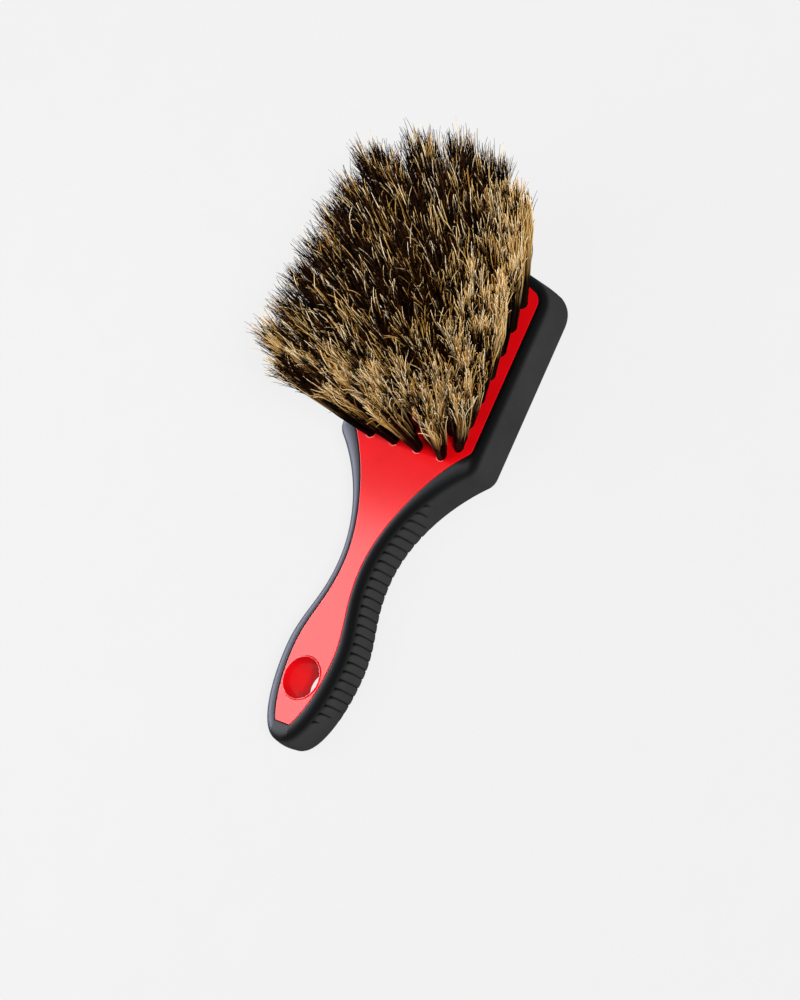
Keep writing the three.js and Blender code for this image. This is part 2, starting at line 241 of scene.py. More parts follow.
def bezier(*controls):
    """A quadratic or cubic Bezier curve, as the sum of each control point times its Bernstein
    weight."""
    t = np.linspace(0, 1, 400)[:, None]
    order = len(controls) - 1
    ways = [1, 2, 1] if order == 2 else [1, 3, 3, 1]
    terms = [
        w * t**k * (1 - t) ** (order - k) * np.array(p, float)
        for k, (w, p) in enumerate(zip(ways, controls))
    ]
    return sum(terms)


def outline(
    front_x,
    crown,
    head_half,
    far,
    shoulder_x,
    corner,
    waist,
    bulge,
    end_x,
    end_half,
    end_angle,
    end_reach,
):
    """The whole outline, anticlockwise: crown arc, far corner, side, shoulder corner, three
    curves through waist and bulge, the flat end, and the mirror image back to the start."""
    slant = np.array([-np.cos(SHOULDER_ANGLE), -np.sin(SHOULDER_ANGLE)])
    centre_x = front_x - crown
    crown_end = np.arcsin((head_half - far) / crown)
    turn = np.linspace(0, crown_end, 200)
    arc = np.column_stack([centre_x + crown * np.cos(turn), crown * np.sin(turn)])
    far_x = centre_x + crown * np.cos(crown_end) - far / 2
    length = corner * np.tan(SHOULDER_ANGLE / 2)
    shoulder = np.array([shoulder_x, head_half])
    side_start = (far_x - far, head_half)
    side_end = (shoulder_x + length, head_half)
    slant_start = shoulder + slant * length
    end = np.array([end_x, end_half])
    end_handle = end + end_reach * np.array([np.cos(end_angle), np.sin(end_angle)])
    waist_point, bulge_point = (WAIST_X, waist), (BULGE_X, bulge)
    neck = bezier(
        slant_start,
        slant_start + slant * SHOULDER_REACH,
        (WAIST_X + WAIST_REACH_TO_HEAD, waist),
        waist_point,
    )
    grip = bezier(
        waist_point,
        (WAIST_X - WAIST_REACH_TO_BULGE, waist),
        (BULGE_X + BULGE_REACH_TO_WAIST, bulge),
        bulge_point,
    )
    last = bezier(bulge_point, (BULGE_X - BULGE_REACH_TO_END, bulge), end_handle, end)
    spans = [
        arc,
        bezier(arc[-1], (far_x, head_half), side_start),
        np.array([side_start, side_end]),
        bezier(side_end, shoulder, slant_start),
        neck,
        grip,
        np.vstack([last, [(end_x, 0)]]) if end_half else last,
    ]
    half = np.vstack([resample(s, n) for s, n in zip(spans, SPAN_COUNTS)] + [[(end_x, 0)]])
    mirrored = half[1:-1][::-1] * (1, -1)
    return np.vstack([half, mirrored])


def outward(points):
    """Unit normals of a closed anticlockwise outline: each chord between neighbours, turned."""
    chord = np.roll(points, -1, 0) - np.roll(points, 1, 0)
    normal = np.column_stack([chord[:, 1], -chord[:, 0]])
    return normal / np.linalg.norm(normal, axis=1)[:, None]


def bridge(rings, count, closed=False):
    """Quads between rings of count points each; closed also joins the last ring to the first."""
    ring = np.arange(rings if closed else rings - 1)[:, None]
    i = np.arange(count)[None, :]
    a, b = ring * count, (ring + 1) % rings * count
    nxt = (i + 1) % count
    return np.stack([a + i, a + nxt, b + nxt, b + i], -1).reshape(-1, 4)


def outward_facing(vertices, faces):
    """The faces, all turned over if the signed volume they enclose is negative."""
    volume = 0
    for f in faces:
        corner = vertices[f]
        for k in range(1, f.shape[1] - 1):
            volume += np.einsum("ij,ij->", corner[:, 0], np.cross(corner[:, k], corner[:, k + 1]))
    return faces if volume > 0 else [f[:, ::-1] for f in faces]


def tuft_layout():
    """For each tuft, row by row: its name, whether it is on the centreline, its hole's centre,
    and how far its tips lean along X and Y. The lean along X grows from row to row and is less
    at the far corners. The lean along Y grows with the distance from the centreline, less so
    in the far rows and on the side at -Y, where the hair stands straighter."""
    layout = []
    for row in range(TUFT_ROWS):
        columns = np.arange(-1.5, 2) if row % 2 == 0 else np.arange(-2.0, 3)
        for k, column in enumerate(columns):
            u, v = row / (TUFT_ROWS - 1), column / 2
            lean_x = mix(8.5, 56, u) + mix(6, -17, u) * v * v
            lean_y = mix(34.5, 21.5, u * u) * v + mix(2.2, 6.5, u * u) * max(-v, 0)
            x = mix(FIRST_ROW_X, LAST_ROW_X, u)
            name = f"tuft_row{row + 1:02d}_{k + 1}"
            layout.append((name, column == 0, x, column * COLUMN_PITCH, lean_x, lean_y))
    return layout


# how far the wider band along the slanted shoulder moves the face's own shoulder
FACE_SHIFT = (SHOULDER_BAND - HEAD_BAND * np.cos(SHOULDER_ANGLE)) / np.sin(SHOULDER_ANGLE)
OUTSIDE = outline(
    HEAD_FRONT_X,
    CROWN_RADIUS,
    HEAD_WIDTH / 2,
    FAR_CORNER,
    SHOULDER_X,
    SHOULDER_CORNER,
    FACE_WAIST_HALF + WAIST_BAND,
    FACE_BULGE_HALF + BULGE_BAND,
    HANDLE_END_X,
    0,
    np.pi / 2,
    OUTSIDE_END_REACH,
)
FACE = outline(
    HEAD_FRONT_X - HEAD_BAND,
    CROWN_RADIUS - HEAD_BAND,
    HEAD_WIDTH / 2 - HEAD_BAND,
    FAR_CORNER - HEAD_BAND,
    SHOULDER_X + FACE_SHIFT,
    FACE_SHOULDER_CORNER,
    FACE_WAIST_HALF,
    FACE_BULGE_HALF,
    HANDLE_END_X + END_BAND,
    FACE_END_HALF,
    FACE_END_ANGLE,
    FACE_END_REACH,
)
TUFTS = tuft_layout()

# ---------- Materials ----------


def red_plastic():
    """Polypropylene, injection moulded and glossy: a clean red with a soft sheen and a faint
    orange-peel, dulled a little where it is handled."""
    material, tree = new_material("polypropylene, glossy moulded red")
    place = add(tree, "ShaderNodeTexCoord").outputs["Object"]
    # flow of the melt: patches about 30 mm long, seen as a slight change of tone
    flow = add(tree, "ShaderNodeTexNoise", {"Vector": place, "Scale": 33.0, "Detail": 2.0})
    tone = add(
        tree,
        "ShaderNodeValToRGB",
        {"Fac": flow.outputs["Fac"]},
        stops=[(0.25, "#c8060d"), (0.75, "#dc0a12")],
    )
    # handling marks: fine streaks about 2 mm apart, long way down the handle
    stretch = add(tree, "ShaderNodeMapping", {"Vector": place, "Scale": (1.0, 9.0, 1.0)})
    streaks = add(
        tree,
        "ShaderNodeTexNoise",
        {"Vector": stretch.outputs["Vector"], "Scale": 60.0, "Detail": 5.0, "Roughness": 0.6},
    )
    dull = add(
        tree,
        "ShaderNodeMapRange",
        {"Value": streaks.outputs["Fac"], "To Min": 0.13, "To Max": 0.16},
    )
    # orange-peel: 1.5 mm waves, a few microns high
    peel = add(tree, "ShaderNodeTexNoise", {"Vector": place, "Scale": 650.0, "Detail": 1.0})
    bump = add(
        tree,
        "ShaderNodeBump",
        {"Height": peel.outputs["Fac"], "Strength": 0.25, "Distance": 0.00002},
    )
    shader = add(
        tree,
        "ShaderNodeBsdfPrincipled",
        {
            "Base Color": tone.outputs["Color"],
            "Roughness": dull.outputs["Result"],
            "IOR": 1.49,
            "Normal": bump.outputs["Normal"],
        },
    )
    add(tree, "ShaderNodeOutputMaterial", {"Surface": shader.outputs["BSDF"]})
    return material


def black_rubber():
    """Thermoplastic rubber, moulded in a tool that is etched on its walls and polished on the front
    band: the walls are rough and charcoal, the band is smoother. The band and the top of the wall
    are painted near black, a painted shade that fades into the charcoal lower down."""
    material, tree = new_material("thermoplastic rubber, etched charcoal black")
    place = add(tree, "ShaderNodeTexCoord").outputs["Object"]
    height = add(tree, "ShaderNodeSeparateXYZ", {"Vector": place}).outputs["Z"]
    # mask of the front band: it sets the painted shade there, near black fading into the wall's
    # charcoal, and the band's smoother finish
    band = add(
        tree,
        "ShaderNodeMapRange",
        {
            "Value": height,
            "From Min": (THICKNESS - 5.5) * MM,
            "From Max": (THICKNESS - 1.0) * MM,
        },
        interpolation_type="SMOOTHSTEP",
    ).outputs["Result"]
    bloom = add(
        tree,
        "ShaderNodeTexNoise",
        {"Vector": place, "Scale": 45.0, "Detail": 4.0, "Roughness": 0.6},
    )
    etched = add(
        tree,
        "ShaderNodeValToRGB",
        {"Fac": bloom.outputs["Fac"]},
        stops=[(0.3, "#2b2b2b"), (0.75, "#333333")],
    )
    # painted shade: the front band's near black over the wall's etched charcoal
    tone = add(
        tree,
        "ShaderNodeMix",
        {0: band, 6: etched.outputs["Color"], 7: linear("#08090a")},
        data_type="RGBA",
    )
    # painted shade: the grooves are painted near black, darker the deeper they are, and are also
    # made matt
    groove = add(tree, "ShaderNodeAttribute", attribute_name="groove").outputs["Fac"]
    shaded = add(
        tree,
        "ShaderNodeMix",
        {0: groove, 6: tone.outputs[2], 7: linear("#050505")},
        data_type="RGBA",
    )
    smoothness = add(
        tree,
        "ShaderNodeMapRange",
        {"Value": band, "To Min": 0.50, "To Max": 0.40},
    )
    dull = add(
        tree,
        "ShaderNodeMapRange",
        {"Value": groove, "To Min": smoothness.outputs["Result"], "To Max": 0.9},
    )
    # etched grain: 0.5 mm, drawn coarser than the real 0.1 mm so that it shows
    grain = add(tree, "ShaderNodeTexNoise", {"Vector": place, "Scale": 2000.0, "Detail": 2.0})
    bump = add(
        tree,
        "ShaderNodeBump",
        {"Height": grain.outputs["Fac"], "Strength": 0.3, "Distance": 0.00003},
    )
    shader = add(
        tree,
        "ShaderNodeBsdfPrincipled",
        {
            "Base Color": shaded.outputs[2],
            "Roughness": dull.outputs["Result"],
            "IOR": 1.5,
            "Specular IOR Level": 0.28,
            "Normal": bump.outputs["Normal"],
        },
    )
    add(tree, "ShaderNodeOutputMaterial", {"Surface": shader.outputs["BSDF"]})
    return material


# Shades of one hair at its root, middle and tip. Across the map they go from black hairs to
# straw-pale ones. The near-black roots, even of the palest hairs, are partly the hair's own colour
# and partly painted shade for the shade deep inside the tufts.
HAIR_SHADES = (
    (0.00, "#030202", "#060303", "#0b0604"),
    (0.34, "#040202", "#060302", "#100703"),
    (0.50, "#060302", "#140803", "#3a1d0b"),
    (0.60, "#0a0502", "#50290c", "#985c20"),
    (0.72, "#0e0804", "#8c6020", "#c09246"),
    (0.86, "#140c05", "#c29449", "#e9c27c"),
    (1.00, "#20160c", "#e4c286", "#fdebc8"),
)


def natural_hair():
    """A mix of natural hair, washed and cut: black, brown and straw-pale hairs side by side, dark
    at the root, paler and drier at the tip. The darkness low down is partly the hair's own colour
    and partly painted shade inside the tufts."""
    material, tree = new_material("natural hair mix, black to straw")
    uv = add(tree, "ShaderNodeUVMap", uv_map="OFBake")
    split = add(tree, "ShaderNodeSeparateXYZ", {"Vector": uv.outputs["UV"]})
    kind, along = split.outputs["X"], split.outputs["Y"]
    root, middle, tip = [
        add(
            tree,
            "ShaderNodeValToRGB",
            {"Fac": kind},
            stops=[(shade[0], shade[k]) for shade in HAIR_SHADES],
        )
        for k in (1, 2, 3)
    ]
    # partly painted shade: a hair keeps its near-black root colour up to about a third of its
    # length, then turns to its middle shade
    low = add(tree, "ShaderNodeMapRange", {"Value": along, "From Min": 0.30, "From Max": 0.62})
    high = add(tree, "ShaderNodeMapRange", {"Value": along, "From Min": 0.62, "From Max": 0.93})
    lower = add(
        tree,
        "ShaderNodeMix",
        {0: low.outputs["Result"], 6: root.outputs["Color"], 7: middle.outputs["Color"]},
        data_type="RGBA",
    )
    whole = add(
        tree,
        "ShaderNodeMix",
        {0: high.outputs["Result"], 6: lower.outputs[2], 7: tip.outputs["Color"]},
        data_type="RGBA",
    )
    shader = add(
        tree,
        "ShaderNodeBsdfPrincipled",
        {
            "Base Color": whole.outputs[2],
            "Roughness": 0.45,
            "IOR": 1.55,
            "Specular IOR Level": 0.05,
        },
    )
    add(tree, "ShaderNodeOutputMaterial", {"Surface": shader.outputs["BSDF"]})
    return material


def steel_wire():
    """Steel wire, galvanised and rolled flat: pale grey, drawn lengthwise."""
    material, tree = new_material("steel wire, galvanised and rolled flat")
    place = add(tree, "ShaderNodeTexCoord").outputs["Object"]
    drawn = add(tree, "ShaderNodeTexNoise", {"Vector": place, "Scale": 1500.0, "Detail": 3.0})
    tone = add(
        tree,
        "ShaderNodeValToRGB",
        {"Fac": drawn.outputs["Fac"]},
        stops=[(0.2, "#a9acae"), (0.8, "#c3c6c8")],
    )
    dull = add(
        tree,
        "ShaderNodeMapRange",
        {"Value": drawn.outputs["Fac"], "To Min": 0.25, "To Max": 0.45},
    )
    shader = add(
        tree,
        "ShaderNodeBsdfPrincipled",
        {"Base Color": tone.outputs["Color"], "Metallic": 1.0, "Roughness": dull.outputs["Result"]},
    )
    add(tree, "ShaderNodeOutputMaterial", {"Surface": shader.outputs["BSDF"]})
    return material


def pale_floor():
    """Matt painted board that glows a little, so it is evenly pale with only a faint shadow."""
    material, tree = new_material("board, matt painted white")
    place = add(tree, "ShaderNodeTexCoord").outputs["Object"]
    roller = add(tree, "ShaderNodeTexNoise", {"Vector": place, "Scale": 40.0, "Detail": 3.0})
    tone = add(
        tree,
        "ShaderNodeValToRGB",
        {"Fac": roller.outputs["Fac"]},
        stops=[(0.3, "#404040"), (0.7, "#424242")],
    )
    shader = add(
        tree,
        "ShaderNodeBsdfPrincipled",
        {
            "Base Color": tone.outputs["Color"],
            "Roughness": 0.9,
            "Specular IOR Level": 0.0,
            "Emission Color": linear("#ffffff"),
            "Emission Strength": 0.815,
        },
    )
    add(tree, "ShaderNodeOutputMaterial", {"Surface": shader.outputs["BSDF"]})
    return material


# ---------- The rubber overmould ----------


def groove_depth(x, z):
    """How deep the handle's wall is cut at X and height z. Each groove is a V slit that opens
    into a wide, deep notch under the front band, where it also bends towards the handle end
    like a comma. Grooves shorten towards both ends of the row."""
    below = GROOVE_TOP - z
    notch = np.exp(-np.clip(below, 0, None) / NOTCH_HEIGHT)
    place = (GROOVE_FIRST_X - (x + COMMA_BEND * notch)) / GROOVE_PITCH
    nearest = np.clip(np.round(place), 0, GROOVE_COUNT - 1)
    past = (place - nearest) * GROOVE_PITCH
    from_end = np.minimum(nearest, GROOVE_COUNT - 1 - nearest) + 1
    full_length = GROOVE_TOP - GROOVE_BOTTOM + SLIT_TAPER
    length = full_length * np.clip(from_end / GROOVE_FADE, 0, 1)
    cut = smooth(below, -0.7, 0.5) * (1 - smooth(below, length - SLIT_TAPER, length))
    half_width = mix(SLIT_HALF_WIDTH, NOTCH_HALF_WIDTH, notch)
    depth = cut * mix(SLIT_DEPTH, NOTCH_DEPTH, notch)
    return depth * (1 - np.clip(np.abs(past) / half_width, 0, 1))


def rib_height(x, z):
    """How far the wall swells between two grooves: a skewed half sine, steeper on the side
    towards the handle end."""
    place = (GROOVE_FIRST_X - x) / GROOVE_PITCH
    share = np.mod(place, 1)
    row = smooth(place, 0, 3) * (1 - smooth(place, GROOVE_COUNT - 3, GROOVE_COUNT - 1))
    under_band = smooth(GROOVE_TOP + 0.5 - z, 0, 2)
    return RIB_HEIGHT * row * np.sin(np.pi * share**1.4) * under_band


def overmould(material):
    """The overmould's section carried round the outline. Going round the section: up the inner
    wall with its pocket for the tongue, over the front band, which rolls down as a quarter of an
    ellipse, down the barrelled and grooved wall, round the back edge and in along the back."""
    out = outward(OUTSIDE)
    seam = FACE + outward(FACE) * JOINT_GAP
    pocket = FACE + outward(FACE) * (TONGUE_DEPTH + JOINT_GAP)
    x = OUTSIDE[:, 0]
    grip = 1 - smooth(x, WAIST_X, SHOULDER_X)
    back_radius = mix(HEAD_BACK_RADIUS, GRIP_BACK_RADIUS, grip)
    rings = []

    def ring(points, z):
        rings.append(np.column_stack([points, np.broadcast_to(z, len(points))]))

    for points, z in (
        (seam, 0.5),
        (seam, TONGUE_BOTTOM - JOINT_GAP),
        (pocket, TONGUE_BOTTOM - JOINT_GAP),
        (pocket, TONGUE_TOP + JOINT_GAP),
        (seam, TONGUE_TOP + JOINT_GAP),
        (seam, THICKNESS - 0.5),
        (seam, THICKNESS - SEAM_ROUNDING[1]),
    ):
        ring(points, z)
    across = OUTSIDE - seam
    for turn in np.linspace(0, np.pi / 2, 5)[1:]:
        inset = SEAM_ROUNDING[0] * (1 - np.cos(turn)) / np.linalg.norm(across, axis=1)
        z = THICKNESS - SEAM_ROUNDING[1] + SEAM_ROUNDING[1] * np.sin(turn)
        ring(seam + across * inset[:, None], z)
    for turn in np.linspace(0, np.pi / 2, 18):
        share = mix(BAND_FLAT, 1, np.sin(turn))
        ring(seam + across * share, THICKNESS - FRONT_ROLL * (1 - np.cos(turn)))
    wall_top = THICKNESS - FRONT_ROLL
    for t in np.linspace(0, 1, 40)[1:-1]:
        z = mix(wall_top, back_radius, t)
        barrel = WALL_BARREL * grip * np.sin(np.pi * t)
        inset = groove_depth(x, z) - rib_height(x, z) - barrel
        ring(OUTSIDE - out * inset[:, None], z)
    for turn in np.linspace(0, np.pi / 2, 7):
        inset = back_radius * (1 - np.cos(turn))
        z = back_radius * (1 - np.sin(turn))
        cut = (groove_depth(x, z) - rib_height(x, z)) * np.cos(turn)
        ring(OUTSIDE - out * (inset + cut)[:, None], z)
    back_end = OUTSIDE - out * back_radius[:, None]
    inward = seam - back_end
    for t in (0.3, 0.65, 0.9, 0.97):
        ring(back_end + inward * t, 0.0)
    ring(seam, 0.25)
    vertices = np.vstack(rings)
    # the stub left where the rubber entered its mould: a small round hill
    from_gate = np.linalg.norm(vertices - GATE, axis=1)
    vertices += GATE_HEIGHT * np.exp(-((from_gate / GATE_RADIUS) ** 2))[:, None] * GATE_WAY
    faces = outward_facing(vertices, [bridge(len(rings), len(OUTSIDE), closed=True)])
    piece = new_piece("rubber_overmould_skin", vertices, faces, material, "black_rubber")
    # how deep in a groove each point is, for the painted shade and the matt finish in the grooves
    deep = np.clip(groove_depth(vertices[:, 0], vertices[:, 2]) / SLIT_DEPTH, 0, 1)
    layer = piece.data.attributes.new("groove", "FLOAT", "POINT")
    layer.data.foreach_set("value", deep.astype(np.float32))
    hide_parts("rubber_overmould")


# ---------- The hard block ----------


def circle(x, y, radius, count):
    """count points round a circle: its centre plus the radius times cosine and sine."""
    turn = np.linspace(0, 2 * np.pi, count, endpoint=False)
    return np.column_stack([x + radius * np.cos(turn), y + radius * np.sin(turn)])


def inside(points, loop):
    """Whether each point lies in a closed loop: a ray along X crosses it an odd number of times."""
    x, y = points[:, :1], points[:, 1:]
    x0, y0 = loop.T
    x1, y1 = np.roll(loop, -1, 0).T
    crosses = (y0 > y) != (y1 > y)
    with np.errstate(divide="ignore", invalid="ignore"):
        at = x0 + (y - y0) * (x1 - x0) / (y1 - y0)
    return (crosses & (x < at)).sum(1) % 2 == 1


def flat_cap(loops, holes):
    """Triangles that fill the first loop less the circular holes, all on the loops' own points."""
    points = np.vstack(loops)
    edges, start = [], 0
    for loop in loops:
        i = np.arange(len(loop))
        edges += (np.column_stack([i, (i + 1) % len(loop)]) + start).tolist()
        start += len(loop)
    result = delaunay_2d_cdt([Vector(p) for p in points], edges, [], 0, 1e-7, True)
    corners, triangles, sources = np.array(result[0]), np.array(result[2]), result[3]
    own = np.array([s[0] for s in sources])
    middle = corners[triangles].mean(1)
    keep = inside(middle, loops[0])
    for hx, hy, radius in holes:
        keep &= np.hypot(middle[:, 0] - hx, middle[:, 1] - hy) > radius
    triangles = triangles[keep]
    a, b, c = (corners[triangles[:, k]] for k in range(3))
    area = (b[:, 0] - a[:, 0]) * (c[:, 1] - a[:, 1]) - (b[:, 1] - a[:, 1]) * (c[:, 0] - a[:, 0])
    triangles[area < 0] = triangles[area < 0][:, ::-1]
    return own[triangles]


def hard_block(material):
    """The block: its edge profile carried round the face outline, the hanging hole's profile
    turned about its axis, a drilled and slightly burred hole for each tuft, and two flat caps
    that join them."""
    normal = outward(FACE)
    edge = [
        (-CAP_INSET, THICKNESS),
        (-0.22, THICKNESS),
        (-0.1, THICKNESS - 0.03),
        (-0.03, THICKNESS - 0.1),
        (0.0, THICKNESS - 0.25),
        (0.0, TONGUE_TOP + 0.1),
        (0.0, TONGUE_TOP),
        (TONGUE_DEPTH, TONGUE_TOP),
        (TONGUE_DEPTH, TONGUE_BOTTOM),
        (0.0, TONGUE_BOTTOM),
        (0.0, 0.25),
        (-0.03, 0.1),
        (-0.1, 0.03),
        (-0.22, 0.0),
        (-CAP_INSET, 0.0),
    ]
    count = len(FACE)
    vertices = [np.column_stack([FACE + normal * d, np.full(count, z)]) for d, z in edge]
    faces = [bridge(len(edge), count)[:, ::-1]]
    used = len(edge) * count
    front_loops, front_holes = [FACE - normal * CAP_INSET], []
    front_index = [np.arange(count)]
    back_loops = [FACE - normal * CAP_INSET]
    back_index = [np.arange(count) + (len(edge) - 1) * count]

    lip_outer = HOLE_RADIUS + LIP_WIDTH
    top = THICKNESS + LIP_HEIGHT
    bore = [
        (lip_outer + 0.26, THICKNESS),
        (lip_outer + 0.13, THICKNESS),
        (lip_outer + 0.04, THICKNESS + 0.06),
        (lip_outer - 0.02, top - 0.2),
        (lip_outer - 0.15, top - 0.05),
        (HOLE_RADIUS + 0.45, top),
        (HOLE_RADIUS + 0.2, top - 0.03),
        (HOLE_RADIUS + 0.05, top - 0.15),
        (HOLE_RADIUS, top - 0.4),
        (HOLE_RADIUS - HOLE_DRAFT * 0.5, THICKNESS / 2),
        (HOLE_RADIUS - HOLE_DRAFT, 0.5),
        (HOLE_RADIUS - HOLE_DRAFT + 0.08, 0.15),
        (HOLE_RADIUS - HOLE_DRAFT + 0.3, 0.0),
        (HOLE_RADIUS + 0.5, 0.0),
    ]
    sides = HOLE_SIDES
    turn = np.linspace(0, 2 * np.pi, sides, endpoint=False)
    # two small nibs of flash on the lip, left by the mould, towards the handle end
    flash = sum(
        height * np.exp(-(((turn - middle) / width) ** 2)) for height, middle, width in FLASH_NIBS
    )
    for k, (radius, z) in enumerate(bore):
        grown = radius + (flash if 2 <= k <= 5 else 0)
        x, y = HOLE_X + grown * np.cos(turn), grown * np.sin(turn)
        vertices.append(np.column_stack([x, y, np.full(sides, z)]))
    faces.append(bridge(len(bore), sides) + used)
    front_loops.append(circle(HOLE_X, 0, bore[0][0], sides))
    front_index.append(np.arange(sides) + used)
    front_holes.append((HOLE_X, 0, bore[0][0] - CAP_CLEARANCE))
    back_loops.append(circle(HOLE_X, 0, bore[-1][0], sides))
    back_index.append(np.arange(sides) + used + (len(bore) - 1) * sides)
    used += len(bore) * sides

    r = TUFT_HOLE_RADIUS
    drilled = [
        (r + 0.75, THICKNESS),
        (r + 0.4, THICKNESS),
        (r + 0.2, THICKNESS + 0.04),
        (r + 0.05, THICKNESS + 0.05),
        (r - 0.02, THICKNESS),
        (r, THICKNESS - 0.3),
        (r, TUFT_HOLE_FLOOR + 0.1),
        (r - 0.1, TUFT_HOLE_FLOOR),
        (0.3, TUFT_HOLE_FLOOR - 0.6),
    ]
    sides = TUFT_HOLE_SIDES
    for _, _, x, y, _, _ in TUFTS:
        for radius, z in drilled:
            vertices.append(np.column_stack([circle(x, y, radius, sides), np.full(sides, z)]))
        faces.append(bridge(len(drilled), sides) + used)
        last = used + (len(drilled) - 1) * sides
        vertices.append(np.array([[x, y, TUFT_HOLE_FLOOR - 0.65]]))
        i = np.arange(sides)
        tip = np.full(sides, last + sides)
        faces.append(np.column_stack([last + i, last + (i + 1) % sides, tip]))
        front_loops.append(circle(x, y, drilled[0][0], sides))
        front_index.append(i + used)
        front_holes.append((x, y, drilled[0][0] - CAP_CLEARANCE))
        used += len(drilled) * sides + 1

    front = np.concatenate(front_index)[flat_cap(front_loops, front_holes)]
    hang_only = [(HOLE_X, 0, bore[-1][0] - CAP_CLEARANCE)]
    back = np.concatenate(back_index)[flat_cap(back_loops, hang_only)][:, ::-1]
    vertices = np.vstack(vertices)
    faces += [front, back]
    piece = new_piece("hard_block", vertices, faces, material, "red_plastic")
    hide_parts("block_core")


# ---------- Hair ----------


def one_tuft(rng, x, y, lean_x, lean_y, spread, pale_share_and_painted_light, curl):
    """Centre lines of the hairs of one tuft, as (hairs, points, 3), and each hair's shade and
    thickness. A hair leaves the hole at its own place in the bundle, fans out to a wider place
    at the tip, is drawn towards the middle of its lock, bows outwards, waves a little and hooks
    over at the tip. Pale hairs gather in some of the locks, and are thicker and longer than dark
    ones."""
    count = HAIRS_PER_TUFT
    t = HAIR_BENDS[None, :, None]
    angle = rng.uniform(0, 2 * np.pi, count)
    radius = np.sqrt(rng.uniform(0, 1, count))
    disc = np.column_stack([radius * np.cos(angle), radius * np.sin(angle)])
    root = disc * (TUFT_HOLE_RADIUS - 0.35)
    fan = disc * spread * rng.normal(1, 0.08, (count, 1)) + rng.normal(0, 0.6, (count, 2))

    locks = LOCKS_PER_TUFT
    lock_radius = np.sqrt(rng.uniform(0, 1, locks))
    lock_angle = rng.uniform(0, 2 * np.pi, locks)
    lock_places = np.column_stack(
        [lock_radius * np.cos(lock_angle), lock_radius * np.sin(lock_angle)]
    )
    away = np.linalg.norm(disc[:, None] - lock_places[None], axis=2)
    lock = away.argmin(1)
    lock_tips = lock_places * spread + rng.normal(0, 1.0, (locks, 2))
    pull = rng.uniform(0.15, 0.85, count)[:, None]
    fan = mix(fan, lock_tips[lock], pull)

    # the pale share passed in also carries the painted light and shade across the field
    lock_share = np.clip(pale_share_and_painted_light * 3 * rng.uniform(0, 1, locks) ** 2, 0, 0.9)
    pale = rng.uniform(0, 1, count) < lock_share[lock]
    light = PALE_SHADE + (1 - PALE_SHADE) * rng.uniform(0, 1, count) ** 0.7
    dark = rng.uniform(0.0, DARK_SHADE, count)
    shade = np.where(pale, light, dark)
    pale_thick = rng.uniform(*PALE_THICKNESS, count)
    dark_thick = rng.uniform(*DARK_THICKNESS, count)
    thick = np.where(pale, pale_thick, dark_thick) / 2

    pale_short = rng.uniform(0, 1, count) ** 2.6
    dark_short = rng.uniform(0, 1, count) ** 1.5
    short = SHORTEST * np.where(pale, pale_short, dark_short)
    lock_length = rng.normal(0, 0.02, locks)
    length = (1 + rng.normal(0, 0.015, count) - short + lock_length[lock])[:, None]
    tip = np.array([lean_x, lean_y]) + fan
    # the hairs of one tuft were cut together, so their tips lie near one ball about its hole
    reach = np.hypot(np.linalg.norm(tip, axis=1), HAIR_HEIGHT)
    even = (np.hypot(np.hypot(lean_x, lean_y), HAIR_HEIGHT) / reach) ** 0.75
    length *= 1.02 * even[:, None]

    out = t**1.05
    level = root[:, None] * (1 - out) + tip[:, None] * out * length[:, None]
    bow = (tip / HAIR_HEIGHT)[:, None] * HAIR_BOW * np.sin(np.pi * t)
    hook_way = rng.uniform(0, 2 * np.pi, count)
    hook_size = np.abs(rng.normal(0, 2.0, count)) + 3.8 * (rng.uniform(0, 1, count) > 0.7)
    hook_size *= curl * np.where(pale, 1.25, 0.85)
    hook = np.column_stack([np.cos(hook_way), np.sin(hook_way)]) * hook_size[:, None]
    wave_way = rng.uniform(0, 2 * np.pi, count)
    wave = np.column_stack([np.cos(wave_way), np.sin(wave_way)])
    wave = wave * rng.normal(0, 1.15, (count, 1))
    phase = rng.uniform(0, 2 * np.pi, (count, 1, 1))
    level = level + bow + hook[:, None] * t**6 + wave[:, None] * np.sin(9 * t + phase) * t
    drop = (hook_size * 0.35)[:, None] * HAIR_BENDS[None] ** 9
    z = HAIR_HEIGHT * length * HAIR_BENDS[None] - drop
    line = np.concatenate([level + np.array([x, y]), z[:, :, None] + THICKNESS], axis=2)
    foot = np.column_stack([root + np.array([x, y]), np.full(count, TUFT_HOLE_FLOOR + 0.5)])
    line = np.concatenate([foot[:, None], line], axis=1)
    return line, shade, thick


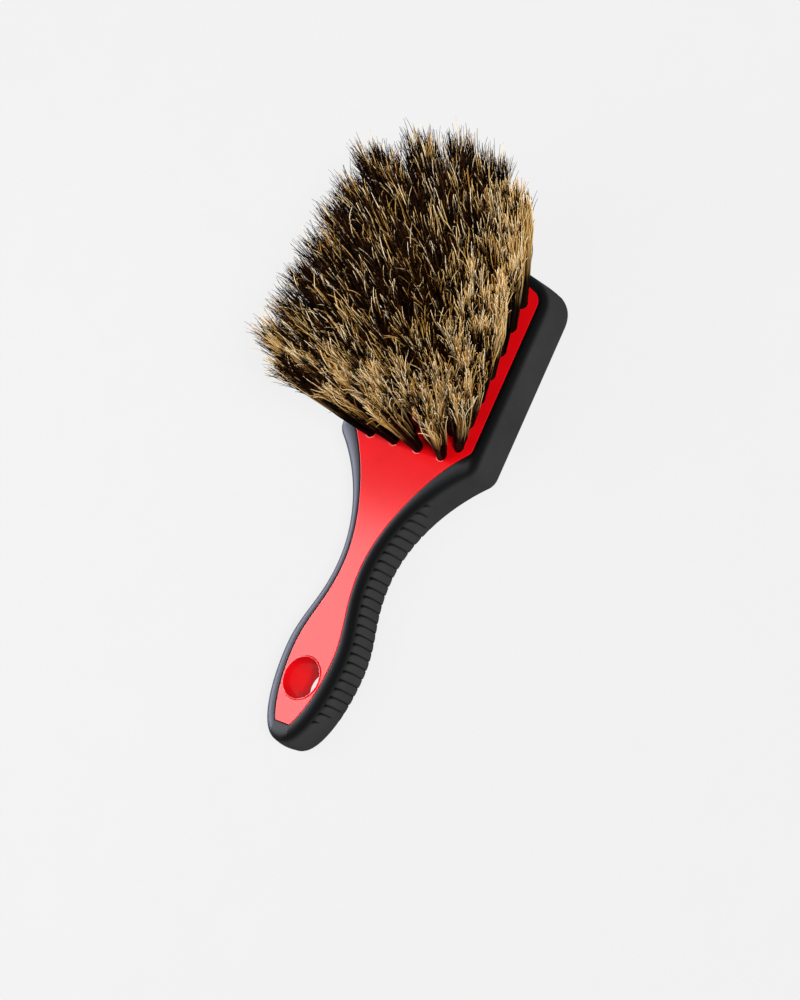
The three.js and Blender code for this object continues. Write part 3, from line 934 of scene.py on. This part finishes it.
def hair_mesh(line, shade, thick):
    """Three-sided closed tubes along the centre lines: at each point, the centre plus the radius
    times cosine and sine of three angles along two directions square to the hair. The radius
    tapers to the tip. On the map a hair's shade is across and root to tip is up."""
    hairs, points, _ = line.shape
    tangent = np.gradient(line, axis=1)
    tangent /= np.linalg.norm(tangent, axis=2)[..., None]
    side = np.cross(tangent, np.array([0.31, 0.77, 0.1]))
    side /= np.linalg.norm(side, axis=2)[..., None]
    up = np.cross(side, tangent)
    v = np.concatenate([[0.02], 0.06 + 0.92 * HAIR_BENDS])
    taper = np.interp(v, (0, 0.6, 0.9, 1), (1, 1, 0.8, 0.3))
    radius = thick[:, None] * taper[None]
    turn = 2 * np.pi * np.arange(3) / 3
    ring = (
        np.cos(turn)[None, None, :, None] * side[:, :, None]
        + np.sin(turn)[None, None, :, None] * up[:, :, None]
    )
    vertices = line[:, :, None] + ring * radius[:, :, None, None]
    base = (np.arange(hairs) * points * 3)[:, None, None]
    p = (np.arange(points - 1) * 3)[None, :, None]
    k = np.arange(3)[None, None, :]
    nxt = (k + 1) % 3
    quads = np.stack(
        [base + p + k, base + p + nxt, base + p + 3 + nxt, base + p + 3 + k], -1
    ).reshape(-1, 4)
    first = np.arange(hairs) * points * 3
    last = first + (points - 1) * 3
    root_caps = np.column_stack([first + 2, first + 1, first])
    tip_caps = np.column_stack([last, last + 1, last + 2])

    # the map: each shade is a strip, so hairs of equal shade lie on one another
    strip = (np.floor(shade * (HAIR_STRIPS - 0.01)) + 0.5) / HAIR_STRIPS
    half = STRIP_HALF
    u0 = strip[:, None, None] + half * (2 * k / 3 - 1)
    u1 = strip[:, None, None] + half * (2 * (k + 1) / 3 - 1)
    v0 = np.broadcast_to(v[:-1][None, :, None], (hairs, points - 1, 3))
    v1 = np.broadcast_to(v[1:][None, :, None], (hairs, points - 1, 3))
    u0 = np.broadcast_to(u0, v0.shape)
    u1 = np.broadcast_to(u1, v0.shape)
    corners = [np.stack(corner, -1) for corner in ((u0, v0), (u1, v0), (u1, v1), (u0, v1))]
    quad_uv = np.stack(corners, axis=3).reshape(-1, 2)
    low, high = strip - half, strip + half

    def cap_uv(v_a, v_b):
        """Map corners of each hair's end triangle: two at v_a and one at v_b."""
        return np.stack(
            [
                np.column_stack([low, np.full(hairs, v_a)]),
                np.column_stack([high, np.full(hairs, v_a)]),
                np.column_stack([strip, np.full(hairs, v_b)]),
            ],
            axis=1,
        ).reshape(-1, 2)

    uvs = np.vstack([quad_uv, cap_uv(0.005, 0.02), cap_uv(0.98, 0.995)])
    return vertices.reshape(-1, 3), [quads, root_caps, tip_caps], uvs


def tufts(material):
    """One piece for each tuft, and one for the seven on the centreline. The mix has fewer pale
    hairs in the middle of the field than along its near edges, which are also combed straighter and
    tighter. The extra pale hairs on the near side and at the handle end are painted light, and the
    fewer in the middle are painted shade."""
    centre_lines = []
    for number, (name, centre, x, y, lean_x, lean_y) in enumerate(TUFTS):
        rng = np.random.default_rng(HAIR_SEED + number)
        near = smooth(-y / (2 * COLUMN_PITCH), 0.35, 1.0)
        handle = smooth(1 - (x - FIRST_ROW_X) / 30, 0.35, 1.0)
        far = smooth(y, 0, 25)
        # painted light and shade: more pale hairs on the near side and at the handle end, where
        # light falls on the field, fewer in its shaded middle and far side
        pale_share_and_painted_light = 0.085 + max(0.42 * near, mix(0.38, 0.24, far) * handle)
        side = smooth(abs(y) / (2 * COLUMN_PITCH), 0.6, 1.0)
        front = smooth(x, LAST_ROW_X - 14, LAST_ROW_X)
        spread = np.array([mix(FAN, OUTER_FAN, side), mix(FAN, EDGE_FAN, max(side, front))])
        combed = max(near, 0.6 * handle)
        spread *= mix(1, COMBED_FAN, combed)
        curl = mix(LOOSE_CURL, COMBED_CURL, combed)
        made = one_tuft(rng, x, y, lean_x, lean_y, spread, pale_share_and_painted_light, curl)
        if centre:
            centre_lines.append(made)
            continue
        vertices, faces, uvs = hair_mesh(*made)
        piece = new_piece(f"hair_{name}", vertices, faces, material, "bristle", uvs)
        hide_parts(name)
    joined = [np.concatenate(parts) for parts in zip(*centre_lines)]
    vertices, faces, uvs = hair_mesh(*joined)
    piece = new_piece("hair_tufts_centreline", vertices, faces, material, "bristle", uvs)
    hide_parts("tufts_centreline")


def staples(material):
    """One flat wire staple across the floor of each tuft hole: a rounded strip section carried
    along a short straight line, its ends drawn in."""
    turn = np.linspace(0, 2 * np.pi, 8, endpoint=False) + np.pi / 8
    section = np.column_stack([0.22 * np.cos(turn), 0.85 * np.sin(turn)])
    stations = np.array([-2.9, -2.6, 0.0, 2.6, 2.9])
    scale = np.array([0.55, 1.0, 1.0, 1.0, 0.55])
    ring_x = scale[:, None] * section[None, :, 0]
    ring_z = scale[:, None] * section[None, :, 1]
    ring_y = np.broadcast_to(stations[:, None], ring_x.shape)
    one = np.stack([ring_x, ring_y, ring_z], -1).reshape(-1, 3)
    vertices, quads, caps = [], [], []
    corners = len(section)
    fan = np.array([(0, k, k + 1) for k in range(1, corners - 1)])
    for number, (_, _, x, y, _, _) in enumerate(TUFTS):
        base = number * len(one)
        vertices.append(one + np.array([x, y, TUFT_HOLE_FLOOR + STAPLE_HEIGHT]))
        quads.append(bridge(len(stations), corners) + base)
        caps.append(fan[:, ::-1] + base)
        caps.append(fan + base + len(one) - corners)
    vertices = np.vstack(vertices)
    faces = outward_facing(vertices, [np.vstack(quads), np.vstack(caps)])
    new_piece("anchor_staples", vertices, faces, material, "steel_wire")


# ---------- Floor, light and camera ----------

FLOOR_Z = -0.02
CAMERA_RIGHT = np.array([0.40458, -0.72729, -0.55441])
CAMERA_UP = np.array([0.90871, 0.25157, 0.33312])
CAMERA_BACK = np.array([-0.10281, -0.63857, 0.76267])
CAMERA_TARGET = np.array([-45.25, 0.0, THICKNESS])
CAMERA_LEFT_OF_TARGET = 1.19
CAMERA_BELOW_TARGET = 23.03
CAMERA_LENS = 200.0
CAMERA_SENSOR = 36.0
CAMERA_DISTANCE = 2649.0
BACKDROP_STRENGTH = 0.9  # of the pale surroundings, as the camera sees them
FILL_STRENGTH = 0.16  # of the light that they give


def floor():
    """A flat disc: rings of points about the origin, each ring wider than the one before."""
    radii = np.array([200.0, 600.0, 1500.0, 4000.0, 12000.0, 40000.0])
    count = 64
    turn = np.linspace(0, 2 * np.pi, count, endpoint=False)
    points = [np.column_stack([r * np.cos(turn), r * np.sin(turn)]) for r in radii]
    flat = np.vstack(points + [[(0, 0)]])
    vertices = np.column_stack([flat, np.full(len(flat), FLOOR_Z)])
    i = np.arange(count)
    middle = np.column_stack([i, (i + 1) % count, np.full(count, len(flat) - 1)])
    faces = [bridge(len(radii), count)[:, ::-1], middle]
    board = new_piece("floor", vertices, faces, pale_floor(), None)
    board.visible_glossy = False


def camera():
    """A long lens, above the brush and to one side of its handle."""
    aim = (
        CAMERA_TARGET - CAMERA_RIGHT * CAMERA_LEFT_OF_TARGET - CAMERA_UP * CAMERA_BELOW_TARGET
    )
    place = aim + CAMERA_BACK * CAMERA_DISTANCE
    data = bpy.data.cameras.new("camera")
    data.lens = CAMERA_LENS
    data.sensor_width = CAMERA_SENSOR
    data.clip_start, data.clip_end = 0.05, 200.0
    made = bpy.data.objects.new("camera", data)
    # the three directions are rounded, so they are first made exactly square to each other
    rounded = np.column_stack([CAMERA_RIGHT, CAMERA_UP, CAMERA_BACK])
    axes, _ = np.linalg.qr(rounded)
    axes *= np.sign(np.einsum("ij,ij->j", axes, rounded))
    made.matrix_world = Matrix.Translation(Vector(place * MM)) @ Matrix(axes.tolist()).to_4x4()
    bpy.context.scene.collection.objects.link(made)
    bpy.context.scene.camera = made


def softbox(name, place, target, size, power, hex_colour="#ffffff", diffuse=True):
    """A rectangular light, turned to its target. Without diffuse it only gives sheen."""
    data = bpy.data.lights.new(name, "AREA")
    data.shape = "RECTANGLE"
    data.size, data.size_y = size
    data.energy = power
    data.color = linear(hex_colour)[:3]
    made = bpy.data.objects.new(name, data)
    place, target = Vector(place) * MM, Vector(target) * MM
    made.matrix_world = (
        Matrix.Translation(place) @ (target - place).to_track_quat("-Z", "Y").to_matrix().to_4x4()
    )
    made.visible_diffuse = diffuse
    bpy.context.scene.collection.objects.link(made)


def sun(name, direction, strength, spread_degrees, glossy=True):
    """A distant light, seen in this direction. Without glossy it gives no sheen."""
    data = bpy.data.lights.new(name, "SUN")
    data.energy = strength
    data.angle = np.radians(spread_degrees)
    made = bpy.data.objects.new(name, data)
    made.matrix_world = (-Vector(direction)).to_track_quat("-Z", "Y").to_matrix().to_4x4()
    made.visible_glossy = glossy
    bpy.context.scene.collection.objects.link(made)


def studio():
    """Pale even surroundings, a soft key light from the near side, a weak one from above, a
    softbox that lays a sheen along the handle and a bluish one for the far rim."""
    world = bpy.data.worlds.new("studio")
    world.use_nodes = True
    tree = world.node_tree
    tree.nodes.clear()
    white = linear("#ffffff")
    seen = add(tree, "ShaderNodeBackground", {"Color": white, "Strength": BACKDROP_STRENGTH})
    fill = add(tree, "ShaderNodeBackground", {"Color": white, "Strength": FILL_STRENGTH})
    ray = add(tree, "ShaderNodeLightPath")
    both = add(tree, "ShaderNodeMixShader", {"Fac": ray.outputs["Is Camera Ray"]})
    tree.links.new(fill.outputs[0], both.inputs[1])
    tree.links.new(seen.outputs[0], both.inputs[2])
    add(tree, "ShaderNodeOutputWorld", {"Surface": both.outputs[0]})
    bpy.context.scene.world = world
    bpy.context.scene.view_settings.view_transform = "Standard"
    sun("key", (-0.03, -0.72, 0.69), 3.8, 14, glossy=False)
    sun("top", (-0.1, 0.0, 0.95), 0.4, 30, glossy=False)
    softbox("handle sheen", (-247, 412, 513), (-170, 0, 20), (0.46, 0.3), 2.1)
    softbox("left rim", (-60, 880, 320), (-60, 0, 20), (0.8, 0.46), 14.0, "#dfe4ff", False)


camera()
studio()
floor()
hard_block(red_plastic())
overmould(black_rubber())
tufts(natural_hair())
staples(steel_wire())
